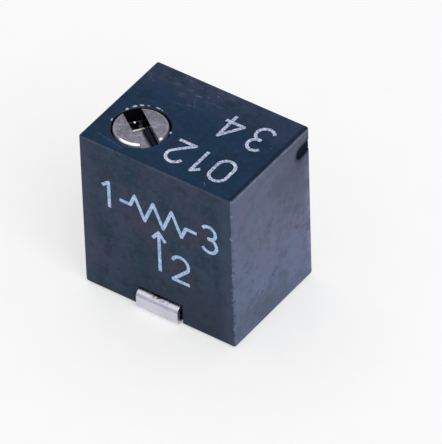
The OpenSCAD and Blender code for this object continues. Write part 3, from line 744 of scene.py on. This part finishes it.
def span(a, b):
    return min(a, b), max(a, b)


def strip_notch(x, half, side, height):
    """What a terminal takes from the lower edge of the front (side -1) or back (side 1)."""
    y0, y1 = span(side * (BODY_D / 2 - NOTCH_DEPTH), side * (BODY_D / 2 + 1))
    notch = box_bm((x - half, y0, BODY_LOW.z - 1), (x + half, y1, height))
    y0, y1 = span(side * (abs(LEAD_LOW.y) - FOOT_L - NOTCH_GAP), side * (BODY_D / 2 + 0.5))
    recess = box_bm((x - half, y0, BODY_LOW.z - 0.5), (x + half, y1, STRIP_T + 2 * FIT))
    return boolean(notch, recess, "UNION")


def chamber():
    """Room of the wheel, round the screw's boss, the wheel's pin and the end stop."""
    front, wheel = BODY_LOW.y + FRONT_WALL, (WHEEL_X, WHEEL_Z)
    room = box_bm(
        (BODY_LOW.x + SIDE_WALL, front, FLOOR_Z), (BODY_HIGH.x - SIDE_WALL, CERAMIC_LOW.y + 0.01, ROOF_Z)
    )
    boss = box_bm(
        (BODY_LOW.x, BODY_LOW.y, RETAINER_HIGH.z + 0.06),
        (SCREW_X + BORE_R + BOSS_WALL, SCREW_Y + BORE_R + BOSS_WALL, ROOF_Z + 1),
    )
    pin = prism(arc(wheel, PIN_R, 0, 357.5, 143), "y", front - 0.01, WHEEL_HIGH.y - 0.25)
    (inner, outer), (start, end) = STOP_R, STOP_ANGLES
    stop = prism(
        arc(wheel, outer, start, end, 16) + arc(wheel, inner, end, start, 16), "y", front - 0.01, front + STOP_T
    )
    for solid in (boss, pin, stop):
        room = boolean(room, solid)
    return room


def make_housing():
    bm = bevelled(box_bm(BODY_LOW, BODY_HIGH), EDGE_R, 5, 60)
    low_bevel = [(BODY_LOW.x + x, BODY_LOW.z + z) for x, z in ((-1, -1), *LOW_BEVEL)]
    bm = boolean(bm, prism(low_bevel, "y", BODY_LOW.y - 1, BODY_HIGH.y + 1))
    bm = boolean(bm, chamber())
    pocket = bevelled(box_bm(
        (BODY_LOW.x + RIM_WALL, CERAMIC_LOW.y, BODY_LOW.z + RIM_WALL),
        (BODY_HIGH.x - RIM_WALL, BODY_HIGH.y + 1, BODY_HIGH.z - RIM_WALL),
    ), 0.12, 3, 60)
    bm = boolean(bm, pocket)
    # screw's hole, retainer's slot and the bearing in the floor
    mouth = BODY_HIGH.z + 0.05
    bm = boolean(bm, lathe([
        (0, RETAINER_HIGH.z), (BORE_R, RETAINER_HIGH.z), (BORE_R, BODY_HIGH.z - 0.04),
        (BORE_R + 0.09, mouth), (0, mouth),
    ], (SCREW_X, SCREW_Y), 160))
    slack = Vector((FIT, FIT, FIT))
    bm = boolean(bm, box_bm(
        RETAINER_LOW - slack, (RETAINER_HIGH.x + FIT, CERAMIC_LOW.y + 0.01, RETAINER_HIGH.z + FIT)
    ))
    deepest, open_end = FLOOR_Z - BEARING_DEPTH, FLOOR_Z + 0.1
    bm = boolean(bm, lathe([
        (0, deepest), (BEARING_R, deepest), (BEARING_R, open_end), (0, open_end)
    ], (SCREW_X, SCREW_Y), 96))
    # terminals' notches and slots
    half = (LEAD_HIGH.x - LEAD_LOW.x) / 2
    bm = boolean(bm, strip_notch(0, half + NOTCH_GAP, -1, STRIP_TOP + NOTCH_GAP))
    bm = boolean(bm, box_bm(
        (-half - FIT, BODY_LOW.y - 0.5, STRIP_TOP - STRIP_T - FIT),
        (half + FIT, PRINT_Y - STRIP_T, STRIP_TOP + FIT),
    ))
    for node in ("end_terminal_1", "wiper_terminal", "end_terminal_3"):
        low, high = box_mm(node)
        x = (low.x + high.x) / 2
        if node != "wiper_terminal":
            bm = boolean(bm, strip_notch(x, (high.x - low.x) / 2 + NOTCH_GAP, 1, BODY_LOW.z + RIM_WALL + 0.01))
        bm = boolean(bm, box_bm(
            (x - TAB_W / 2 - FIT, PRINT_Y - STRIP_T - 0.1, STRIP_TOP - STRIP_T - FIT),
            (x + TAB_W / 2 + FIT, CERAMIC_LOW.y + 0.01, FLOOR_Z + 0.01),
        ))
    # vent notch in the right-hand rim
    slope = math.degrees(math.atan2(VENT_ROOT[1] - VENT_TIP[1], VENT_ROOT[0] - VENT_TIP[0]))
    tip = arc(VENT_TIP, VENT_R, slope + 90, slope + 270, 20)
    root = arc(VENT_ROOT, VENT_R, slope - 90, slope + 90, 12)
    bm = boolean(bm, prism(tip + root, "x", BODY_HIGH.x - RIM_WALL - 0.01, BODY_HIGH.x + 1))
    bm = bevelled(bm, 0.022, 2, 40)
    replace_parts(finish_mesh("housing_shell", bm, "housing", HOUSING), "housing")


def make_burrs():
    """Crumbs of flash round the mouth of the screw's hole, their paleness a painted highlight, as (angle, radius,
    length, width).
    """
    bm = bmesh.new()
    for angle, radius, length, width in (
        (151, 1.12, 0.14, 0.09), (136, 1.16, 0.19, 0.09), (124, 1.18, 0.17, 0.08), (112, 1.17, 0.1, 0.03),
        (94, 1.17, 0.2, 0.06), (85, 1.15, 0.08, 0.03), (18, 1.1, 0.12, 0.08), (-169, 1.12, 0.12, 0.06),
    ):
        crumb = bmesh.ops.create_icosphere(bm, subdivisions=3, radius=1)["verts"]
        for v in crumb:
            lump = 1 + 0.18 * math.sin(5 * v.co.x + angle) * math.cos(4 * v.co.y - angle)
            v.co = Vector((v.co.x * width / 2 * lump, v.co.y * length / 2 * lump, v.co.z * 0.035))
        centre = Matrix.Translation((SCREW_X, SCREW_Y, BODY_HIGH.z + 0.005))
        turn = Matrix.Rotation(math.radians(angle), 4, "Z")
        bmesh.ops.transform(bm, matrix=centre @ turn @ Matrix.Translation((radius, 0, 0)), verts=crumb)
    finish_mesh("mouth_burrs", bm, "housing", FLASH_AND_HIGHLIGHT, 60)


# Screw

def worm_thread():
    """Helical ridge with a trapezoid section that runs out at both ends."""
    steps, turns, first = 48, 3.85, 0.02
    base_z = WHEEL_Z - 2.5 * WORM_LEAD
    half_w, slope, foot_r = 0.1745, math.tan(math.radians(20)), WORM_CORE_R / 2
    bm = bmesh.new()
    rings = []
    count = int(turns * steps)
    for i in range(count + 1):
        t = first + i / steps
        share = max(0.15, min(1, i / steps * 2, (count - i) / steps * 2))
        tip_r = WORM_CORE_R + (WORM_TIP_R - WORM_CORE_R) * share
        tip_w = half_w - (tip_r - WORM_PITCH_R) * slope
        foot_w = half_w + (WORM_PITCH_R - foot_r) * slope
        turn, z = 2 * math.pi * t, base_z + WORM_LEAD * t
        rings.append([
            bm.verts.new((SCREW_X + r * math.cos(turn), SCREW_Y + r * math.sin(turn), z + dz))
            for r, dz in ((foot_r, -foot_w), (tip_r, -tip_w), (tip_r, tip_w), (foot_r, foot_w))
        ])
    for a, b in zip(rings, rings[1:]):
        for k in range(4):
            bm.faces.new((a[k], a[(k + 1) % 4], b[(k + 1) % 4], b[k]))
    bm.faces.new(rings[0])
    bm.faces.new(rings[-1])
    bmesh.ops.recalc_face_normals(bm, faces=bm.faces)
    return bm


def make_swarf():
    """A bright flake of metal that leans in the slot's far end."""
    bm = bmesh.new()
    bmesh.ops.create_icosphere(bm, subdivisions=3, radius=1)
    for v in bm.verts:
        lump = 1 + 0.15 * math.sin(4 * v.co.x + 2 * v.co.y)
        v.co = Vector((v.co.x * 0.05 * lump, v.co.y * 0.045, v.co.z * 0.014))
    lean = Matrix.Rotation(math.radians(24), 4, (0.8, 0.6, 0))
    place = Matrix.Translation(in_slot(-0.93, 0.08, 0.03))
    bmesh.ops.transform(bm, matrix=place @ lean, verts=bm.verts)
    finish_mesh("slot_swarf", bm, "screw", SWARF, 60)


def make_screw():
    low = SCREW_LOW.z
    lip = HEAD_R - 0.03
    stub_tip, stub = 0.35, 0.4
    collar_low, collar_top = RETAINER_LOW.z - 0.18, RETAINER_LOW.z - 0.04
    bm = lathe([
        (0, low), (stub_tip, low), (stub, low + 0.05), (stub, FLOOR_Z + 0.1), (WORM_CORE_R, FLOOR_Z + 0.15),
        (WORM_CORE_R, collar_low), (COLLAR_R, collar_low), (COLLAR_R, collar_top), (NECK_R, collar_top),
        (NECK_R, RETAINER_HIGH.z + 0.04), (lip, RETAINER_HIGH.z + 0.04), (HEAD_R, RETAINER_HIGH.z + 0.07),
        (HEAD_R, GROOVE_LOW - 0.03), (lip, GROOVE_LOW), (NECK_R, GROOVE_LOW),
        (NECK_R, GROOVE_TOP), (lip, GROOVE_TOP), (HEAD_R, GROOVE_TOP + 0.03),
        *arc((HEAD_R - HEAD_BEVEL, HEAD_TOP - HEAD_BEVEL), HEAD_BEVEL, 0, 90, 6), (0, HEAD_TOP),
    ], (SCREW_X, SCREW_Y), 160)
    bm = boolean(bm, worm_thread(), "UNION")
    slot = box_bm((-2, -SLOT_W / 2, HEAD_TOP - SLOT_DEPTH), (2, SLOT_W / 2, HEAD_TOP + 1))
    bmesh.ops.rotate(slot, verts=slot.verts, cent=(0, 0, 0), matrix=Matrix.Rotation(SLOT_ANGLE, 3, "Z"))
    bmesh.ops.translate(slot, verts=slot.verts, vec=(SCREW_X, SCREW_Y, 0))
    bm = bevelled(boolean(bm, slot), 0.018, 2, 40)
    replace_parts(finish_mesh("screw_turned", bm, "screw", PLATED), "adjusting_screw")


# Terminals

def hook_outline(tail):
    """A J-bent strip as (outward distance, height): in along its top to tail, and back under the body."""
    face = abs(LEAD_LOW.y)
    mid, low, inner = face - BEND_R, STRIP_TOP - STRIP_T, BEND_R - STRIP_T
    upper, lower, foot = (mid, STRIP_TOP - BEND_R), (mid, BEND_R), face - FOOT_L
    return (
        [(tail, STRIP_TOP)] + arc(upper, BEND_R, 90, 0, 10) + arc(lower, BEND_R, 0, -90, 10) + [(foot, 0)]
        + [(foot, STRIP_T)] + arc(lower, inner, -90, 0, 8) + arc(upper, inner, 0, 90, 8) + [(tail, low)]
    )


def tab_outline(tab_u, reach, top):
    """The strip's inner end: from reach back to the ceramic plate at tab_u, bent up to the tab's top."""
    low, inner = STRIP_TOP - STRIP_T, BEND_R - STRIP_T
    centre = (tab_u + STRIP_T + inner, low + BEND_R)
    return (
        [(reach, low)] + arc(centre, BEND_R, -90, -180, 8) + [(tab_u, top), (tab_u + STRIP_T, top)]
        + arc(centre, inner, 180, 270, 8) + [(reach, STRIP_TOP)]
    )


def make_terminal(name, node, side, wide_from, tab_u):
    """A terminal at the front (side -1) or back (side 1), full width outside wide_from."""
    low, high = box_mm(node)
    x, top = (low.x + high.x) / 2, high.z
    hook = prism([(side * u, z) for u, z in hook_outline(wide_from)], "x", low.x, high.x)
    tab_line = [(side * u, z) for u, z in tab_outline(tab_u, wide_from + 0.2, top)]
    tab = prism(tab_line, "x", x - TAB_W / 2, x + TAB_W / 2)
    bm = bevelled(boolean(hook, tab, "UNION"), 0.03, 3, 50)
    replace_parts(finish_mesh(name, bm, "housing", TIN), node)


# Potting resin

def make_resin():
    """A rippled surface that climbs at the rim, and the plug in the vent groove."""
    steps, climb, reach, ripple = 36, 0.05, 0.18, 0.012
    low, high = RESIN_LOW, Vector((BODY_HIGH.x - RIM_WALL, BODY_HIGH.y - 0.08, RESIN_HIGH.z))
    bm = bmesh.new()
    surface = []
    for i in range(steps + 1):
        row = []
        for j in range(steps + 1):
            x = low.x + (high.x - low.x) * i / steps
            z = low.z + (high.z - low.z) * j / steps
            edge = min(x - low.x, high.x - x, z - low.z, high.z - z)
            rise = climb * math.exp(-edge / reach)
            wave = ripple * math.sin(2.1 * x + 0.7) * math.cos(1.7 * z)
            row.append(bm.verts.new((x, high.y - climb + rise + min(wave, 0), z)))
        surface.append(row)
    deep = [[bm.verts.new((v.co.x, CERAMIC_HIGH.y + 0.005, v.co.z)) for v in row] for row in surface]
    for i in range(steps):
        for j in range(steps):
            for grid in (surface, deep):
                bm.faces.new((grid[i][j], grid[i + 1][j], grid[i + 1][j + 1], grid[i][j + 1]))
    for i in range(steps):
        for a, b, c, d in (
            (i, 0, i + 1, 0), (i, steps, i + 1, steps), (0, i, 0, i + 1), (steps, i, steps, i + 1)
        ):
            bm.faces.new((surface[a][b], surface[c][d], deep[c][d], deep[a][b]))
    bmesh.ops.recalc_face_normals(bm, faces=bm.faces)
    r, end_y, end_z = VENT_R - 0.005, BODY_HIGH.y - 0.04, BODY_HIGH.z - 0.7
    plug = prism(
        arc(VENT_TIP, r, 97, 263, 16) + [(end_y, end_z - r), (end_y, end_z + r)], "x", high.x - 0.05, RESIN_HIGH.x
    )
    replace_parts(finish_mesh("resin_fill", bm, "housing", RESIN, 50), "potting_resin")
    finish_mesh("resin_vent", bevelled(plug, 0.02, 2, 50), "housing", VENT_RESIN, 50)


make_housing()
make_burrs()
make_screw()
make_swarf()
make_terminal("terminal_2", "wiper_terminal", -1, 0.6, -PRINT_Y)
make_terminal("terminal_1", "end_terminal_1", 1, 1.85, PRINT_Y - STRIP_T)
make_terminal("terminal_3", "end_terminal_3", 1, 1.85, PRINT_Y - STRIP_T)
make_resin()

for node, material in {
    "ceramic_substrate": ALUMINA, "resistive_track": CERMET, "collector_print": SILVER,
    "end_print_1": SILVER, "end_print_3": SILVER, "solder_joint_1": SOLDER, "solder_joint_2": SOLDER,
    "solder_joint_3": SOLDER, "screw_retainer": STEEL, "screw_o_ring": RUBBER, "worm_wheel": ROTOR,
    "wiper_contact": CONTACT,
}.items():
    dress(frame["nodes"][node], material)


# Printed marks: the terminals' numbers and a resistor symbol on the front, a plain dial's numbers on the top

# Planes as (origin, along the text, up the text, outwards)
FRONT = (Vector((0, BODY_LOW.y, 0)), Vector((1, 0, 0)), Vector((0, 0, 1)), Vector((0, -1, 0)))
TOP = (Vector((0, 0, BODY_HIGH.z)), Vector((-1, 0, 0)), Vector((0, -1, 0)), Vector((0, 0, 1)))

PRINT_HEIGHT = 0.01
PRINT_DEPTH = 0.02
FRONT_STROKE = 0.135
TOP_STROKE = 0.125

# Digits as strokes in a box 0.6 wide and 1 high
DIGITS = {
    "0": [[(0.6, 0.7), *arc((0.3, 0.7), 0.3, 0, 180, 10)[1:], *arc((0.3, 0.3), 0.3, 180, 360, 10), (0.6, 0.7)]],
    "1": [[(0.1, 0.8), (0.34, 1.0), (0.34, 0.0)]],
    "2": [[*arc((0.3, 0.7), 0.3, 165, -30, 12), (0.0, 0.0), (0.62, 0.0)]],
    "3": [[*arc((0.28, 0.75), 0.25, 150, -90, 12), *arc((0.28, 0.25), 0.28, 90, -150, 14)]],
    "4": [[(0.46, 0.0), (0.46, 1.0), (0.0, 0.3), (0.64, 0.3)]],
}


def digit_lines(text, x, y, height, step=0):
    """Strokes of digits from x and y on, one every step."""
    return [
        [(x + i * step + px * height, y + py * height) for px, py in line]
        for i, mark in enumerate(text) for line in DIGITS[mark]
    ]


def resistor_lines(x, y, length, height):
    """A zigzag between two leads."""
    peaks, lead = 6, 0.14
    zigzag = [
        (x + length * (lead + 0.72 * (i + 0.5) / peaks), y + height / 2 * (1 if i % 2 == 0 else -1))
        for i in range(peaks)
    ]
    return [[(x, y), (x + length * lead, y), *zigzag, (x + length * 0.86, y), (x + length, y)]]


def arrow_lines(x, low, high, wing):
    """An upright arrow with its point at the top."""
    return [[(x, low), (x, high)], [(x - wing, high - 1.3 * wing), (x, high), (x + wing, high - 1.3 * wing)]]


def make_marks(name, lines, width, plane, material):
    """Strokes of one width with round corners, merged to one thin raised sheet."""
    origin, u_axis, v_axis, normal = plane
    r = width / 2
    points, outlines = [], []

    def add(outline):
        outlines.append(list(range(len(points), len(points) + len(outline))))
        points.extend(outline)

    for line in lines:
        for p in line if line[0] == line[-1] else line[1:-1]:
            add([Vector(q) for q in arc(p, r, 0, 330, 11)])
        for a, b in zip(line, line[1:]):
            a, b = Vector(a), Vector(b)
            step = (b - a).normalized() * r
            left = Vector((-step.y, step.x))
            add([a - left, b - left, b + left, a + left])
    places, _, triangles, _, _, owners = delaunay_2d_cdt(points, [], outlines, 1, 1e-5)
    triangles = [triangle for triangle, owner in zip(triangles, owners) if owner]

    bm = bmesh.new()
    top = [bm.verts.new(origin + u_axis * p.x + v_axis * p.y + normal * PRINT_HEIGHT) for p in places]
    low = [bm.verts.new(origin + u_axis * p.x + v_axis * p.y - normal * PRINT_DEPTH) for p in places]
    sides = set()
    for triangle in triangles:
        bm.faces.new([top[i] for i in triangle])
        bm.faces.new([low[i] for i in reversed(triangle)])
        sides.update(zip(triangle, triangle[1:] + triangle[:1]))
    for i, j in sorted(sides):
        if (j, i) not in sides:
            bm.faces.new((top[i], low[i], low[j], top[j]))
    bmesh.ops.delete(bm, geom=[v for v in bm.verts if not v.link_faces], context="VERTS")
    bmesh.ops.recalc_face_normals(bm, faces=bm.faces)
    finish_mesh(name, bm, "housing", material)


make_marks("front_marks", [
    *digit_lines("1", -2.4, 4.13, 1.15),
    *resistor_lines(-1.55, 4.7, 3.3, 0.95),
    *digit_lines("3", 1.95, 4.13, 1.15),
    *arrow_lines(0.1, 2.15, 3.95, 0.27),
    *digit_lines("2", 0.65, 2.07, 1.15),
], FRONT_STROKE, FRONT, INK)
make_marks("top_marks", [
    *digit_lines("012", -2.42, 0.66, 1.13, 0.92),
    *digit_lines("34", -2.58, -1.45, 1.2, 1.18),
], TOP_STROKE, TOP, TOP_INK)


# Stage, lights and camera, in metres

FLOOR_HALF = 0.6
WORLD_LEVEL = 0.62


def rays_seen(tree):
    """1 for rays from the camera or by way of gloss or glass, 0 for the even light."""
    path = tree.nodes.new("ShaderNodeLightPath")
    seen = path.outputs["Is Camera Ray"]
    for ray in ("Is Transmission Ray", "Is Glossy Ray"):
        either = tree.nodes.new("ShaderNodeMath")
        either.operation = "MAXIMUM"
        tree.links.new(seen, either.inputs[0])
        tree.links.new(path.outputs[ray], either.inputs[1])
        seen = either.outputs["Value"]
    return seen


def make_floor():
    bm = bmesh.new()
    bmesh.ops.create_grid(bm, x_segments=1, y_segments=1, size=FLOOR_HALF)
    mesh = bpy.data.meshes.new("floor")
    bm.to_mesh(mesh)
    bm.free()
    floor = bpy.data.objects.new("floor", mesh)
    bpy.context.scene.collection.objects.link(floor)
    paper = Material("floor_paper", Roughness=0.9, Specular_IOR_Level=0.1, Emission_Color=(1, 1, 1, 1))
    fibre = paper.noise(1.5, detail=4)
    tone = paper.mix(paper.remap(fibre, 0.3, 0.7), (0.94, 0.94, 0.94), (0.96, 0.96, 0.96))
    # half of what the camera and reflections see of it is plain white, so the shadow stays faint
    seen = rays_seen(paper.tree)
    paper.set("Base Color", paper.mix(paper.both(seen, 0.5), tone, (0, 0, 0)))
    paper.set("Emission Strength", paper.both(seen, 0.52))
    dress(floor, paper)


def area_light(name, place, size, power):
    light = bpy.data.lights.new(name, "AREA")
    light.shape = "DISK"
    light.size = size
    light.energy = power
    lamp = bpy.data.objects.new(name, light)
    bpy.context.scene.collection.objects.link(lamp)
    lamp.location = place
    lamp.rotation_euler = (BODY_MID * MM - Vector(place)).to_track_quat("-Z", "Y").to_euler()


def make_world():
    """Even light, seen as white in the background and in gloss."""
    world = bpy.data.worlds.new("studio")
    bpy.context.scene.world = world
    world.use_nodes = True
    nodes, links = world.node_tree.nodes, world.node_tree.links
    seen = rays_seen(world.node_tree)
    strength = nodes.new("ShaderNodeMapRange")
    strength.inputs["To Min"].default_value = WORLD_LEVEL
    strength.inputs["To Max"].default_value = 1.0
    links.new(seen, strength.inputs["Value"])
    links.new(strength.outputs["Result"], nodes["Background"].inputs["Strength"])
    nodes["Background"].inputs["Color"].default_value = (1, 1, 1, 1)


def make_camera():
    """The camera fitted to the block's seven visible corners."""
    azimuth, elevation, roll = (math.radians(a) for a in (36.447, 41.506, -2.022))
    distance = 0.25
    sensor = 36
    focal_px = 7094.9
    # where the block's middle is seen in the image
    seen_at = (196.41, 204.0)
    back = Vector((
        math.sin(azimuth) * math.cos(elevation), -math.cos(azimuth) * math.cos(elevation), math.sin(elevation)
    ))
    right = Vector((math.cos(azimuth), math.sin(azimuth), 0))
    up = back.cross(right)
    cos, sin = math.cos(roll), math.sin(roll)
    right, up = right * cos + up * sin, up * cos - right * sin
    offset_x = (seen_at[0] - IMAGE_W / 2) / focal_px * distance
    offset_y = -(seen_at[1] - IMAGE_H / 2) / focal_px * distance
    data = bpy.data.cameras.new("camera")
    data.sensor_fit = "VERTICAL"
    data.sensor_height = sensor
    data.lens = focal_px / IMAGE_H * sensor
    data.clip_start = 0.01
    data.clip_end = 10
    camera = bpy.data.objects.new("camera", data)
    bpy.context.scene.collection.objects.link(camera)
    place = BODY_MID * MM + back * distance - right * offset_x - up * offset_y
    camera.matrix_world = Matrix.Translation(place) @ Matrix((right, up, back)).transposed().to_4x4()
    bpy.context.scene.camera = camera


make_floor()
make_world()
make_camera()
area_light("key", (0.2, -0.1, 0.23), 0.24, 0.4)
area_light("fill", (-0.18, 0.1, 0.25), 0.25, 0.1)
bpy.context.scene.view_settings.view_transform = "Standard"
